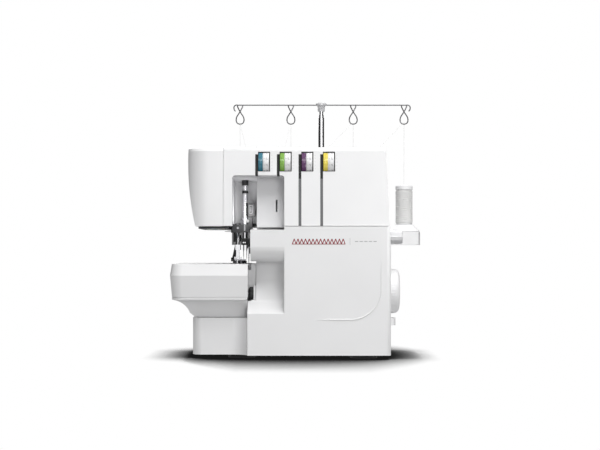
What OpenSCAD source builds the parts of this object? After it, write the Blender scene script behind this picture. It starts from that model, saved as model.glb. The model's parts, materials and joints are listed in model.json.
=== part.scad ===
// Serger (overlock) sewing machine with a telescopic thread stand and four thread spools.
// Millimetres. +X is the machine's right, +Y is its back, +Z is up. The machine stands on z = 0, and
// the origin is the middle of its overall width and depth.

/* [Body] */
// Width of the lower body, from the bed seam to the right side
body_w = 187; // [184:1:190]
// Depth of the housing, from the looper cover to the back wall
body_d = 193; // [190:1:196]
// Height of the housing top above the table
body_h = 277.5; // [276:0.5:279]
// Height of the seam between the looper cover and the upper front panel
seam_z = 174; // [173:0.5:175]
// Height of the sewing surface
bed_z = 124.5; // [124:0.5:125]
// Wall thickness of the moulded covers
wall = 2.6; // [2.2:0.1:3]
// Height of the rubber feet
foot_h = 5.4; // [4:0.2:6]

/* [Left side] */
// How far the head reaches left of the bed seam, measured at its top
head_overhang = 78.5; // [76:0.5:80]
// How far the extension table reaches left of the bed seam
table_overhang = 102; // [100:0.5:104]

/* [Needle area] */
// X of the needle bar
needle_x = -77.4; // [-78:0.2:-77]
// Y of the needle bar
needle_y = -75; // [-76:0.5:-74]
// Diameter of the needle bar
needle_bar_d = 7.2; // [7:0.1:7.4]

/* [Thread path] */
// Distance between the tension slots
dial_pitch = 28.3; // [28:0.1:28.6]
// Radius of a tension dial
dial_r = 16.5; // [16:0.1:16.5]
// Width of a thread slot
slot_w = 3.6; // [3:0.2:4]
// Diameter of the outer mast tube
mast_d = 8.4; // [8:0.1:9]
// Length of the crossbar on the thread stand
guide_bar_l = 258; // [250:1:262]
// Distance of the inner spools from the mast
spool_in = 45.6; // [44:0.2:47]
// Distance of the outer spools from the mast
spool_out = 120; // [118:0.5:121]
// Diameter of a wound spool
spool_d = 25.6; // [24:0.2:28]

/* [Right side] */
// Diameter of the handwheel
handwheel_d = 61; // [58:1:64]
// Diameter of the stitch dials
stitch_dial_d = 19; // [17:1:21]

/* [Hidden] */
$fn = 48;

// Main planes
front_y = -145;
back_y = front_y + body_d;
seam_x = -72;
right_x = seam_x + body_w;
head_x = seam_x - head_overhang;
table_x = seam_x - table_overhang;
gap = 0.35;            // seam between neighbouring covers
split_y = -60;         // seam between the front panel and the rear housing
cap_x = -103.6;        // seam between the front panel and the head's end cover
column_x = -62;        // left wall of the column behind the throat
column_y = -45;        // front of the column's left part
side_y = front_y + 12; // front edge of the right side wall
top_right_x = right_x - 6.5;
lean = 8;              // how far the upper front leans back over its height

// Needle bay, the recess in the head's front
bay_x0 = -91.9;
bay_x1 = -23.9;
bay_xm = -60.2;        // where the deep left part ends
bay_z = 240.5;         // top edge at the front
bay_back_y = -50;
bay_back_z = 234.7;    // ceiling at the back wall
bay_face_y0 = -112;    // right part, at its top
bay_face_y1 = -126;    // right part, at its bottom

// Tension units
slot_x0 = -60.2;
dial_z = 257.8;
dial_y = front_at(dial_z) + 12;
dial_w = 13.9;
window_w = 16.4;       // from the slot's middle to the window's right edge
window_z0 = 246;
window_z1 = 269.8;
slot_top_z = 268;

// Looper cover
cover_top_z = seam_z - gap;
nose_z = 169.4;
nose_r = 19;
nose_c = [front_y + nose_r, 147];
nose_x = -68.2;
scoop_r = 64;
scoop_c = [-176, 116];
scoop_x1 = -23.9;
hinge = [-136, 14];
knuckle_x = [-38, 56]; // hinge knuckles of the cover
lug_x = [-50, 44];     // hinge lugs of the bottom pan
notch_x = -61.9;       // right edge of the fixed plate in the cover's notch
notch_z = 76;

// Bed, free arm and table
arm_x0 = -165;
arm_y0 = -105;
arm_y1 = -15;
arm_z0 = 88;
table_y1 = 32;
crease_z = 109.5;
skirt_z1 = 80.6;
skirt_z0 = 54.6;
base_x0 = -144.8;
base_front_y = -125;
base_fillet = 20;      // where the base's front wall swings forward
plate_x0 = -98;
plate_x1 = -72.6;
plate_y0 = -112;
plate_y1 = -38;
plate_t = 1.6;

// Presser parts
presser_x = -88.5;
presser_y = -44;
presser_d = 5;
foot_pivot = [-64, bed_z + 6.1];
lifter = [-33, 159];   // y, z of the lifter's pin
pressure_y = -76;      // y of the presser foot's pressure dial
dog_x = [-90, -83.4];  // left sides of the feed dog rows
dog_w = 2.4;
dial_hole = [-118, 86]; // y, z of the cutting width dial

// Drive
shaft = [-50, 87];     // y, z of the main shaft
motor_c = [6, 46];
shaft_d = 10;
bush_z = 177.3;        // bottom of the needle bar's lower bush
pulley_x = 80;
pulley_w = 9;
big_pulley_r = 18;
small_pulley_r = 7;

// Thread stand
mast = [27.6, 95];
rack_x = 28.8;         // middle of the row of spools
tray_z0 = 150;
tray_z = 170;
tray_x0 = -101;
tray_x1 = 172.2;
tray_ym = 98;
tray_y1 = 145;
mast_top_z = 343.5;
bar_z = 354.6;
wire_d = 1.8;
spool_x = [rack_x - spool_out, rack_x - spool_in, rack_x + spool_in, rack_x + spool_out];
guide_x = [-78.7, -26.4, 29.3, 102];
guide_y = 20;
loop_r = 5.4;
loop_c_z = -22.6;      // centre of a hanging eye, below the bar

// y of the upper front face at height z
function front_at(z) = front_y + 2 + (z - seam_z) * lean / (body_h - seam_z);
// x of the right side at height z
function right_at(z) = right_x - max(0, z - 143) * 6.5 / (body_h - 143);
function slot_x(i) = slot_x0 + i * dial_pitch;

// Extrusions of a 2D outline drawn in the named plane
module along_y(y0, y1) translate([0, y1, 0]) rotate([90, 0, 0]) linear_extrude(y1 - y0) children();
module along_x(x0, x1) translate([x0, 0, 0]) rotate([90, 0, 90]) linear_extrude(x1 - x0) children();
module along_z(z0, z1) translate([0, 0, z0]) linear_extrude(z1 - z0) children();
module block(a, b) translate(a) cube([b[0] - a[0], b[1] - a[1], b[2] - a[2]]);
module rod_x(x0, x1, y, z, d) translate([x0, y, z]) rotate([0, 90, 0]) cylinder(h = x1 - x0, d = d);
module rod_y(y0, y1, x, z, d) translate([x, y1, z]) rotate([90, 0, 0]) cylinder(h = y1 - y0, d = d);
module rod_z(z0, z1, x, y, d) translate([x, y, z0]) cylinder(h = z1 - z0, d = d);
// Straight round rod between two points
module link(a, b, d) {
    v = b - a;
    l = norm(v);
    translate(a) rotate([0, acos(v[2] / l), atan2(v[1], v[0])]) cylinder(h = l, d = d, $fn = 16);
}
// Rectangle with its four corners rounded
module rrect(x0, y0, x1, y1, r) {
    translate([x0 + r, y0]) square([x1 - x0 - 2 * r, y1 - y0]);
    translate([x0, y0 + r]) square([x1 - x0, y1 - y0 - 2 * r]);
    for (x = [x0 + r, x1 - r], y = [y0 + r, y1 - r]) translate([x, y]) circle(r);
}
// Rectangle with its two left corners rounded
module rrect_left(x0, y0, x1, y1, r) {
    translate([x0 + r, y0]) square([x1 - x0 - r, y1 - y0]);
    translate([x0, y0 + r]) square([x1 - x0, y1 - y0 - 2 * r]);
    for (y = [y0 + r, y1 - r]) translate([x0 + r, y]) circle(r);
}
// Rectangle with its two right corners rounded
module rrect_right(x0, y0, x1, y1, r) mirror([1, 0]) rrect_left(-x1, y0, -x0, y1, r);

// ---- Base ----

module bottom_pan() color("whitesmoke") {
    difference() {
        along_z(foot_h, foot_h + wall) union() {
            rrect(base_x0 + 3, -100, right_x - 3, back_y - 3, 10);
            rrect(seam_x + 6, -124, right_x - 3, -80, 4);
        }
        for (x = [20 : 9 : 74]) block([x, -30, foot_h - 1], [x + 4, 30, foot_h + 4]);
    }
    // lugs that carry the looper cover's hinge rod
    for (x = lug_x) difference() {
        union() {
            block([x, hinge[0], hinge[1] - 4], [x + 8, -122, hinge[1] + 4]);
            block([x, -127, foot_h + 0.1], [x + 8, -122, hinge[1] + 4]);
            rod_x(x, x + 8, hinge[0], hinge[1], 8);
        }
        rod_x(x - 1, x + 9, hinge[0], hinge[1], 4.1);
    }
}

function foot_places() = [[-81, -92], [81, -104], [-81, 28], [81, 28]];

module rubber_feet() color("black") for (p = foot_places()) {
    translate([p[0], p[1], 0]) cylinder(h = foot_h - 0.05, d = 36);
}

module base_outline() {
    rrect_left(base_x0, base_front_y, seam_x - gap, back_y, 12);
    translate([seam_x - 1, column_y]) square([column_x - gap - seam_x + 1, back_y - column_y]);
    // the front wall swings forward to meet the looper cover
    difference() {
        translate([seam_x - gap - base_fillet, front_y]) square([base_fillet, base_fillet + 4]);
        translate([seam_x - gap - base_fillet, front_y]) circle(base_fillet, $fn = 96);
    }
}

module base_side_cover() color("whitesmoke") difference() {
    along_z(foot_h + 0.2, skirt_z0 - 0.6) base_outline();
    along_z(foot_h - 1, skirt_z0 - 0.6 - wall) {
        rrect_left(base_x0 + wall, base_front_y + wall, seam_x + 5, back_y - wall, 10);
        translate([seam_x, column_y - 1]) square([20, back_y - wall - column_y + 1]);
    }
}

// ---- Housing ----

// Outline of the housing behind the front covers, inset by i
module housing_outline(i) {
    polygon([
        [cap_x + gap / 2 + i, seam_z + i], [right_at(seam_z) - i, seam_z + i],
        [top_right_x - i, body_h - i], [cap_x + gap / 2 + i, body_h - i]
    ]);
}

module column_outline(i) polygon([
    [column_x + i, foot_h + 0.2 + i], [right_x - i, foot_h + 0.2 + i], [right_x - i, 143],
    [right_at(seam_z + 8) - i, seam_z + 8], [column_x + i, seam_z + 8]
]);

module rear_housing() color("whitesmoke") difference() {
    union() {
        along_y(split_y + gap, back_y) housing_outline(0);
        along_y(column_y, back_y) column_outline(0);
        intersection() {
            along_y(side_y, back_y) column_outline(0);
            block([right_x - 12, side_y, 0], [right_x + 1, back_y, seam_z - gap]);
        }
    }
    along_y(split_y - 1, back_y - wall) intersection() {
        housing_outline(wall);
        translate([cap_x + wall, 0]) square([300, 400]);
    }
    along_y(column_y - 1, back_y - wall) column_outline(wall);
    along_y(side_y - 1, column_y) intersection() {
        column_outline(wall);
        translate([right_x - 40, 0]) square([60, 400]);
    }
    // open to the base side cover and to the bottom pan
    block([column_x - 1, side_y - 1, 0], [right_x - wall, back_y - wall, foot_h + 10.4]);
    // vents behind the motor
    for (x = [10 : 9 : 73]) block([x, back_y - wall - 1, 26], [x + 4, back_y + 1, 62]);
    // holes for the shaft, the dials, the switch and the inlet
    rod_x(right_x - 6, right_x + 1, shaft[0], shaft[1], 16);
    for (y = stitch_dial_places()) rod_x(right_x - 8, right_x + 1, y, 160.5, 8);
    block([right_x - 6, switch_y - 11, 40], [right_x + 1, switch_y + 11, 52]);
    block([right_x - 6, inlet_y - 15, 34], [right_x + 1, inlet_y + 15, 56]);
    for (p = back_screw_places()) rod_y(back_y - 6, back_y + 1, p[0], p[1], 3.4);
    // room for the looper cover's lower edge as it swings down
    block([right_x - 14, side_y - 1, 0], [right_x + 1, hinge[0] + 10, hinge[1] + 10]);
    // opening for the needle and presser bars and their casting
    block([-98.6, split_y - 1, seam_z - 1], [column_x + wall + 1.2, -27.5, seam_z + wall + 1]);
}

function stitch_dial_places() = [-72, -28];
switch_y = -62;
inlet_y = -10;
function back_screw_places() = [[-90, 190], [-90, 262], [96, 190], [96, 262], [-50, 24], [100, 24]];

module panel_profile(i) {
    r = 5;
    difference() {
        polygon([
            [front_at(seam_z + gap) + i, seam_z + gap + i], [split_y + (i > 0 ? 1 : 0), seam_z + gap + i],
            [split_y + (i > 0 ? 1 : 0), body_h - i], [front_at(body_h) + i, body_h - i]
        ]);
        if (i == 0) translate([front_at(body_h) - 1, body_h - r]) difference() {
            square([r + 1.3, r + 1]);
            translate([r + 1.3, 0]) circle(r, $fn = 64);
        }
    }
}

module front_panel() color("white") difference() {
    intersection() {
        along_x(cap_x + gap / 2, right_x + 1) panel_profile(0);
        along_y(front_y - 1, split_y + 1) housing_outline(0);
    }
    intersection() {
        along_x(cap_x - 1, right_x + 1) panel_profile(wall);
        along_y(front_y - 1, split_y + 2) polygon([
            [cap_x - 1, seam_z + wall], [right_at(seam_z) - wall, seam_z + wall],
            [top_right_x - wall, body_h - wall], [cap_x - 1, body_h - wall]
        ]);
    }
    // needle bay, open at the front and at the bottom
    along_y(front_y - 1, split_y + 1) {
        rrect(bay_x0, seam_z - 10, bay_x1, bay_z, 4);
    }
    block([bay_x0 - 12, -128, seam_z - 1], [right_x - 12, split_y + 1, seam_z + wall + 1]);
    for (i = [0 : 3]) {
        z0 = i < 2 ? bay_z - 6 : seam_z - 1;
        block([slot_x(i) - slot_w / 2, front_y - 1, z0], [slot_x(i) + slot_w / 2, -128, slot_top_z]);
        block([slot_x(i) + 1.7, front_y - 1, window_z0], [slot_x(i) + window_w, -124, window_z1]);
        rod_x(slot_x(i) + 1.7, slot_x(i) + window_w, dial_y, dial_z, 2 * dial_r + 0.8);
    }
    rod_z(body_h - 6, body_h + 1, presser_x, pressure_y, 15.4);
}

// Silhouette of the head's left end, seen from the front
module head_side(i) intersection() {
    translate([202.9, 261.2]) circle(r = 354 - i, $fn = 360);
    translate([head_x - 10, seam_z + i]) square([-head_x + cap_x + 10 - gap / 2, body_h - seam_z - 2 * i]);
}

// The end of the head, inset by i: its front leans forward to the bottom, and its upper front edge is rounded
module head_body(i) hull() for (s = [
    [seam_z + i, 0], [body_h - 5 - i, 0], [body_h - 1.5 - i, 1.5], [body_h - i, 5]
]) {
    along_z(s[0] - 0.2, s[0]) {
        rrect_left(head_x - 2 + i, front_at(s[0]) + i + s[1], cap_x + 1, back_y - i, 30 - i, $fn = 48);
    }
}

module head_end_cover() color("whitesmoke") difference() {
    intersection() {
        along_y(front_y, back_y) head_side(0);
        head_body(0);
    }
    intersection() {
        along_y(front_y, back_y) head_side(wall);
        head_body(wall);
    }
    block([cap_x - 2 * wall, -126, seam_z + wall], [cap_x + 1, back_y - wall, body_h - wall]);
    block([head_x + 20, -118, seam_z - 1], [cap_x + 1, back_y - 12, seam_z + wall + 1]);
}

module head_bottom_plate() color("dimgray") difference() {
    along_z(seam_z - 3, seam_z) rrect_left(-138, -128, -98.7, back_y - 6, 20);
    block([-128, -96, seam_z - 4], [-104, -72, seam_z - 1]);
}

module lamp_lens() color("lightyellow") {
    block([-127.8, -95.8, seam_z - 3.6], [-104.2, -72.2, seam_z - 1]);
}

// y on the lower surface of the bay's ceiling, as a height
function bay_ceiling(y) = bay_z + (bay_back_z - bay_z) * (y - front_at(bay_z)) / (bay_back_y - front_at(bay_z));

// Side wall of the bay, from the sloping front back to y1
module bay_side(y1) polygon([
    [front_at(seam_z + 3.4) + wall + 0.2, seam_z + 3.4], [y1, seam_z + 3.4], [y1, bay_z + 0.6],
    [front_at(bay_z + 0.6) + wall + 0.2, bay_z + 0.6]
]);

module needle_bay_liner() color("gainsboro") {
    t = 1.6;
    y0 = front_at(bay_z) + wall + 0.2;
    difference() {
        union() {
            // left and right walls
            along_x(bay_x0 - t, bay_x0) bay_side(bay_back_y + t);
            along_x(bay_x1, bay_x1 + t) bay_side(bay_face_y0 + 4);
            // back wall of the deep part
            block([bay_x0, bay_back_y, seam_z + 5], [bay_xm, bay_back_y + t, bay_back_z + 0.4]);
            // ceiling
            along_x(bay_x0 - t, bay_x1 + t) polygon([
                [y0, bay_ceiling(y0)], [bay_back_y + t, bay_back_z], [bay_back_y + t, bay_back_z + 1.2],
                [y0, bay_ceiling(y0) + 1.2]
            ]);
            // raised right part, with its inner side and its lower lip
            along_x(bay_xm, bay_x1) polygon([
                [bay_face_y0, bay_ceiling(bay_face_y0) + 0.2], [bay_face_y1, seam_z + 1], [bay_face_y1, seam_z - 1.4],
                [split_y, seam_z - 1.4], [split_y, seam_z + 0.2], [bay_face_y1 + t, seam_z + 0.2],
                [bay_face_y1 + t, seam_z + 1], [bay_face_y0 + t, bay_ceiling(bay_face_y0) + 0.2]
            ]);
            along_x(bay_xm, bay_xm + t) polygon([
                [bay_face_y0, bay_ceiling(bay_face_y0) + 0.2], [bay_face_y1, seam_z + 1], [bay_back_y + t, seam_z + 1],
                [bay_back_y + t, bay_back_z]
            ]);
        }
        for (i = [0 : 1]) block([slot_x(i) - slot_w / 2, front_y, bay_z - 6], [slot_x(i) + slot_w / 2, -118, bay_z + 4]);
        rod_z(bay_back_z - 2, bay_z + 2, needle_x, needle_y, 12.2);
        // passage for the casting's thread guide bracket
        block([-71.4, bay_back_y - 1, 191.6], [-66.6, bay_back_y + t + 1, 202.4]);
        // thread eyelet in the raised part
        block([-35.3, -130, 193], [-33.3, -100, 209]);
    }
}

// Painted casting that carries the shafts and bars
module cast_frame() color("dimgray") difference() {
    union() {
        block([-128, -96, foot_h + 4], [104, 38, foot_h + 10]);
        // column and its bearing walls
        block([-56, -40, foot_h + 8], [-48, 38, 262]);
        block([56, -66, foot_h + 8], [63, 38, 120]);
        block([100, -62, foot_h + 8], [106, -38, 108]);
        block([-56, 30, foot_h + 8], [63, 38, 110]);
        block([-56, -62, 72], [-48, -38, 102]);
        // arm along the head
        block([-98, -38, 200], [-48, -30, 262]);
        block([-98, -30, 240], [90, -22, 262]);
        block([-98, -40, 166.6], [-70, -34, 210]);
        // guides of the needle bar and the presser bar, which show in the needle bay
        block([-94.4, -86, 166.6], [-71.8, -40, bush_z]);
        block([-73, -84, 171.4], [-67.6, -66, 185.4]);
        block([-84, -82, 238.4], [-71, -38, 247]);
        block([-93, -49, 243], [-84, -38, 250]);
        rod_z(229.7, 238.5, needle_x, needle_y, 8.8);
        // thread guide bracket beside the needle bar
        block([-72.6, -84, 188.2], [-64.4, -70, 206.4]);
        block([-71, -70, 192], [-67, -40, 202]);
        block([-71, -42, 192], [-60, -38, 202]);
        // arms that carry the shaft of the tension dials
        for (i = [0 : 3]) block([slot_x(i) - 6, dial_y - 5, 250], [slot_x(i) - 4, -26, 262]);
        // ear and pin of the presser foot lifter
        block([-95, -38, 154], [-91.8, -28, 170]);
        rod_x(-92, -84, lifter[0], lifter[1], 4);
    }
    rod_z(150, 260, needle_x, needle_y, needle_bar_d + 0.1);
    rod_z(150, 270, presser_x, presser_y, presser_d + 0.1);
    for (x = [-57, 55, 99]) rod_x(x, x + 10, shaft[0], shaft[1], 18);
    rod_x(55, 65, motor_c[0], motor_c[1], 16);
    rod_x(slot_x(0) - 7, slot_x(3) - 3, dial_y, dial_z, 5);
}

module shaft_bushes() color("silver") {
    for (x = [-56, 56, 100]) difference() {
        rod_x(x, x + 6, shaft[0], shaft[1], 18);
        rod_x(x - 1, x + 7, shaft[0], shaft[1], shaft_d + 0.1);
    }
    difference() {
        rod_z(bush_z, 186, needle_x, needle_y, 12);
        rod_z(176, 190, needle_x, needle_y, needle_bar_d + 0.1);
        block([-73, -84, 171], [-60, -66, 190]);
    }
}

module free_arm() color("whitesmoke") {
    difference() {
        along_z(arm_z0, bed_z) rrect_left(arm_x0, arm_y0, seam_x, arm_y1, 20);
        along_z(arm_z0 + wall, bed_z - wall) {
            rrect_left(arm_x0 + wall, arm_y0 + wall, seam_x + 1, arm_y1 - wall, 18);
        }
        // seat of the needle plate and the well under it
        block([plate_x0, arm_y0 - 1, bed_z - plate_t], [seam_x + 1, plate_y1, bed_z + 1]);
        block([plate_x0 + 4, -99, arm_z0 - 1], [seam_x + 1, plate_y1 - 5, bed_z + 1]);
    }
    // plate beside the looper cover, with the bearing of the cutting width dial
    difference() {
        union() {
            block([-68, -111, notch_z + 0.6], [notch_x, -104, bed_z]);
            block([-64.4, -126, notch_z + 0.6], [notch_x, -104, 96]);
            block([seam_x - 1, -111, arm_z0], [-67, arm_y0, bed_z - 8]);
            block([seam_x - 0.5, column_y, arm_z0], [column_x - gap, arm_y1, bed_z]);
        }
        rod_x(-65, notch_x + 1, dial_hole[0], dial_hole[1], 5.1);
        rod_x(seam_x - 2, -64.4, dial_hole[0], dial_hole[1], 17.4);
    }
}

module needle_plate() color("silver") difference() {
    block([plate_x0 + 0.1, arm_y0 + 1, bed_z - plate_t], [plate_x1, plate_y1 - 0.1, bed_z]);
    // feed dog slots, needle slot and screw holes
    for (x = dog_x) block([x - 0.6, -96, bed_z - 3], [x + dog_w + 0.6, -52, bed_z + 1]);
    block([needle_x - 4, needle_y - 1.8, bed_z - 3], [needle_x + 4, needle_y + 1.8, bed_z + 1]);
    for (y = [-101, -43]) rod_z(bed_z - 3, bed_z + 1, -94, y, 3.4);
}

// ---- Extension table ----

// The table from height z0 up, inset by i; it is widest at the crease
module table_body(z0, i) {
    x1 = seam_x + (i > 0 ? 2 : 0.4);
    hull() for (s = [[z0, -171.4, -142, 15], [crease_z, table_x, -144.6, 17], [bed_z - i, -171.8, -139.4, 15]]) {
        along_z(s[0] - 0.01, s[0]) rrect_left(s[1] + i, s[2] + i, x1, table_y1 - i, s[3] - i, $fn = 96);
    }
}

module table_top() color("whitesmoke") difference() {
    table_body(skirt_z1 + gap + 0.01, 0);
    table_body(skirt_z1, wall);
    // cut-out for the free arm
    along_z(skirt_z1 - 2, bed_z + 1) rrect_left(arm_x0 - 0.5, arm_y0 - 0.5, seam_x + 2, arm_y1 + 0.5, 20.5);
    block([seam_x - 2, -114, skirt_z1 - 1], [seam_x + 2, -90, bed_z - wall]);
}

// Cove under the table: its outline from the table's edge in to the base
module cove(x1, s, i) difference() {
    polygon([[x1 + i, skirt_z1], [x1 + i, skirt_z1 - 2.2], [x1 + s, skirt_z0], [x1 + 60, skirt_z0], [x1 + 60, skirt_z1]]);
    translate([x1 - 2 + i, skirt_z0 - 3]) circle(26.5, $fn = 96);
}

module skirt_outer() intersection() {
    along_z(skirt_z0, skirt_z1) rrect_left(table_x + 2.4, -142, seam_x - gap, table_y1 - 2, 16);
    along_y(front_y, back_y) union() {
        cove(table_x + 2.4, 30, 0);
        translate([table_x + 60, skirt_z0]) square([50, skirt_z1 - skirt_z0]);
    }
    along_x(table_x, seam_x + 1) union() {
        cove(-142, 24, 0);
        translate([-90, skirt_z0]) square([130, skirt_z1 - skirt_z0]);
    }
}

module table_skirt() color("whitesmoke") difference() {
    skirt_outer();
    intersection() {
        translate([wall, 0, 0]) along_y(front_y, back_y) union() {
            cove(table_x + 2.4, 30, 0);
            translate([table_x + 60, skirt_z0 - 1]) square([50, skirt_z1 - skirt_z0 + 2]);
        }
        along_z(skirt_z0 - 1, skirt_z1 + 1) rrect_left(table_x + 5, -139.4, seam_x + 2, table_y1 - 2 - wall, 14);
        translate([0, wall, 0]) along_x(table_x, seam_x + 2) union() {
            cove(-142, 24, 0);
            translate([-90, skirt_z0 - 1]) square([130, skirt_z1 - skirt_z0 + 2]);
        }
    }
}

// ---- Looper cover ----

module nose(o) {
    translate(nose_c) circle(nose_r + o, $fn = 96);
    translate([nose_c[0], nose_c[1] - nose_r - o]) square([60, 60]);
    translate([front_y - o - 1, nose_c[1]]) square([60, 60]);
}

// Side view of the finger scoop under the nose, grown by o
module scoop(o) difference() {
    intersection() {
        translate(scoop_c) circle(scoop_r + o, $fn = 128);
        translate([-200, 50]) square([120, nose_c[1] - 50]);
    }
    nose(-o);
}

module looper_cover() color("white") difference() {
    union() {
        difference() {
            along_z(foot_h + 0.1, cover_top_z) {
                difference() {
                    rrect_right(seam_x, front_y, right_x, side_y + 40, 5);
                    translate([seam_x - 1, side_y - gap]) square([body_w + 2, 60]);
                }
            }
            along_z(foot_h + 0.1 + wall, cover_top_z - wall) {
                rrect_right(seam_x + wall, front_y + wall, right_x - wall, side_y + 40, 3.5);
            }
        }
        intersection() {
            along_x(seam_x, scoop_x1 + wall) scoop(wall);
            block([seam_x, front_y, 50], [0, -100, nose_c[1]]);
        }
        // left wall and top of the nose
        intersection() {
            union() {
                along_x(nose_x, nose_x + wall) nose(0);
                intersection() {
                    along_x(nose_x, scoop_x1 + wall) nose(0);
                    block([nose_x, front_y, nose_z - wall], [scoop_x1 + wall, -100, nose_z]);
                }
            }
            block([nose_x, front_y, 100], [0, -110, nose_z]);
        }
        for (x = knuckle_x) block([x, front_y + 1, foot_h + 1], [x + 8, hinge[0] + 4, hinge[1] + 4.5]);
    }
    along_x(seam_x - 1, scoop_x1) scoop(0);
    block([seam_x - 1, front_y - 1, notch_z], [notch_x + 0.5, -90, nose_c[1] - nose_r]);
    block([seam_x - 1, front_y - 1, nose_c[1] - nose_r - 1], [nose_x, -90, 200]);
    block([seam_x - 1, front_y - 1, nose_z], [scoop_x1, -90, 200]);
    // the right side leans in to the top
    along_y(front_y - 1, side_y + 1) polygon([
        [right_at(cover_top_z), cover_top_z + 1], [right_x, 143], [right_x + 5, 143], [right_x + 5, cover_top_z + 1]
    ]);
    // room in the bottom lip for the hinge lugs
    for (x = lug_x) block([x - 9, front_y + wall, foot_h - 1], [x + 9, side_y + 1, foot_h + wall + 1]);
    rod_x(seam_x + 20, right_x - 20, hinge[0], hinge[1], 4.1);
}

module cover_hinge_rod() color("silver") rod_x(seam_x + 8, right_x - 15, hinge[0], hinge[1], 4);

// ---- Sewing mechanism ----

module cutting_width_dial() color("black") {
    rod_x(-70.6, -65, dial_hole[0], dial_hole[1], 16.5);
    rod_x(-65.1, -62.2, dial_hole[0], dial_hole[1], 5);
}

bar_bottom = 158.7;

module needle_bar() color("silver") rod_z(bar_bottom, 258, needle_x, needle_y, needle_bar_d);

module needle_clamp() color("black") {
    difference() {
        block([needle_x - 4.6, needle_y - 4.6, 149.6], [needle_x + 4.4, needle_y + 4.6, bar_bottom]);
        for (x = needle_places()) rod_z(140, 155.2, x, needle_y, 2);
    }
    // thumb screw in front of the clamp
    rod_x(needle_x + 3.2, needle_x + 6.8, needle_y - 4.5, 151.6, 14);
    difference() {
        rod_z(219, 222.8, needle_x, needle_y, 8.4);
        rod_z(210, 230, needle_x, needle_y, needle_bar_d);
    }
}

function needle_places() = [needle_x - 2.1, needle_x + 2.1];

module needles() color("silver") for (x = needle_places()) {
    rod_z(142, 155, x, needle_y, 2);
    rod_z(129.8, 142, x, needle_y, 1.1);
}

// Boss on its shaft with a bent arm that ends in a hook
module looper(pivot, y, elbow, tip) {
    rod_y(y - 4, y + 4, pivot[0], pivot[1], 11);
    link([pivot[0], y, pivot[1]], [elbow[0], y, elbow[1]], 4.4);
    link([elbow[0], y, elbow[1]], [tip[0], y, tip[1]], 2.8);
}

module upper_looper() color("silver") looper([-36, 80], -83, [-58, 84], [-72, 97]);

module lower_looper() color("silver") looper([-56, 42], -69.5, [-62, 96], [-76, 106]);

module feed_dogs() color("silver") {
    for (x = dog_x) {
        block([x, -94, 114], [x + dog_w, -54, bed_z - 1.2]);
        for (y = [-93 : 3 : -57]) block([x, y, bed_z - 1.3], [x + dog_w, y + 1.6, bed_z + 0.2]);
    }
    block([dog_x[0], -94, 111], [dog_x[1] + dog_w, -54, 114.1]);
    block([dog_x[0], -54.1, 108], [dog_x[0] + 5, -20, 114.1]);
}

module upper_knife_arm() color("dimgray") {
    block([-71.2, -98, 138], [-40, -92, 146]);
    block([-46, -98, 70], [-40, -92, 138.1]);
}

module upper_knife() color("silver") difference() {
    block([-72.4, -99, 126], [-71.2, -88, 147]);
    // slanted cutting edge
    translate([-73, -99, 126]) rotate([25, 0, 0]) translate([0, -5, -20]) cube([3, 30, 20]);
}

module lower_knife() color("silver") {
    block([-70.8, -100, 108], [-69.4, -89, bed_z]);
    block([-69.5, -97, 78], [-66, -91, 116]);
}

module presser_bar() color("silver") {
    rod_z(146, 258, presser_x, presser_y, presser_d);
    // block that joins the bar to the foot's ankle
    block([-90.9, -68, 143], [-84.4, -41, 150]);
    block([-89.9, -66.5, foot_pivot[1] - 1.8], [-85.4, -60, 143.1]);
    rod_x(-92.4, -82.9, foot_pivot[0], foot_pivot[1], 2.4);
    rod_z(210.6, 213.2, presser_x, presser_y, 8);
}

module presser_foot() color("silver") difference() {
    union() {
        block([-93, -92, bed_z + 0.5], [-75.2, foot_pivot[0], bed_z + 3.4]);
        // toe, raised at the front
        along_x(-93, -75.2) polygon([
            [-100, bed_z + 4.6], [-91.9, bed_z + 0.5], [-91.9, bed_z + 3.4], [-98, bed_z + 6.4]
        ]);
        for (x = [-92.4, -85.1]) block([x, -68, bed_z + 0.5], [x + 2.2, foot_pivot[0] + 3, foot_pivot[1] + 3]);
    }
    rod_x(-94, -82, foot_pivot[0], foot_pivot[1], 2.5);
    block([needle_x - 4.4, needle_y - 3, bed_z], [needle_x + 3.6, needle_y + 3, bed_z + 8]);
    block([-87.6, -101, bed_z], [-86.4, -84, bed_z + 8]);
    block([-95, foot_pivot[0] - 0.1, bed_z], [-74, foot_pivot[0] + 4, bed_z + 3.2]);
}

module foot_lifter() color("gainsboro") difference() {
    union() {
        rod_x(-91.5, -84.5, lifter[0], lifter[1], 9);
        link([presser_x, lifter[0] + 3, lifter[1]], [-97.6, 34, 131], 5);
        block([-101.4, 30, 126.6], [-95.4, 40, 132]);
    }
    rod_x(-93, -83, lifter[0], lifter[1], 4.1);
}

module presser_spring() color("silver") for (z = [214 : 2.2 : 241]) {
    translate([presser_x, presser_y, z]) rotate_extrude() translate([3.3, 0]) circle(d = 1.1, $fn = 24);
}

module pressure_dial() color("gainsboro") difference() {
    rod_z(266, body_h - 0.1, presser_x, pressure_y, 15);
    block([presser_x - 5, pressure_y - 0.7, body_h - 1.6], [presser_x + 5, pressure_y + 0.7, body_h + 1]);
}

// ---- Drive ----

module handwheel() color("white") {
    translate([right_x + 0.4, shaft[0], shaft[1]]) rotate([0, 90, 0]) rotate_extrude($fn = 96) {
        difference() {
            union() {
                square([handwheel_d / 2 - 3, 16]);
                translate([0, 3]) square([handwheel_d / 2, 9]);
                translate([handwheel_d / 2 - 3, 3]) circle(3, $fn = 32);
                translate([handwheel_d / 2 - 4.2, 12]) circle(4.2, $fn = 32);
            }
            translate([8, 14.4]) square([14, 3]);
        }
    }
}

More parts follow.
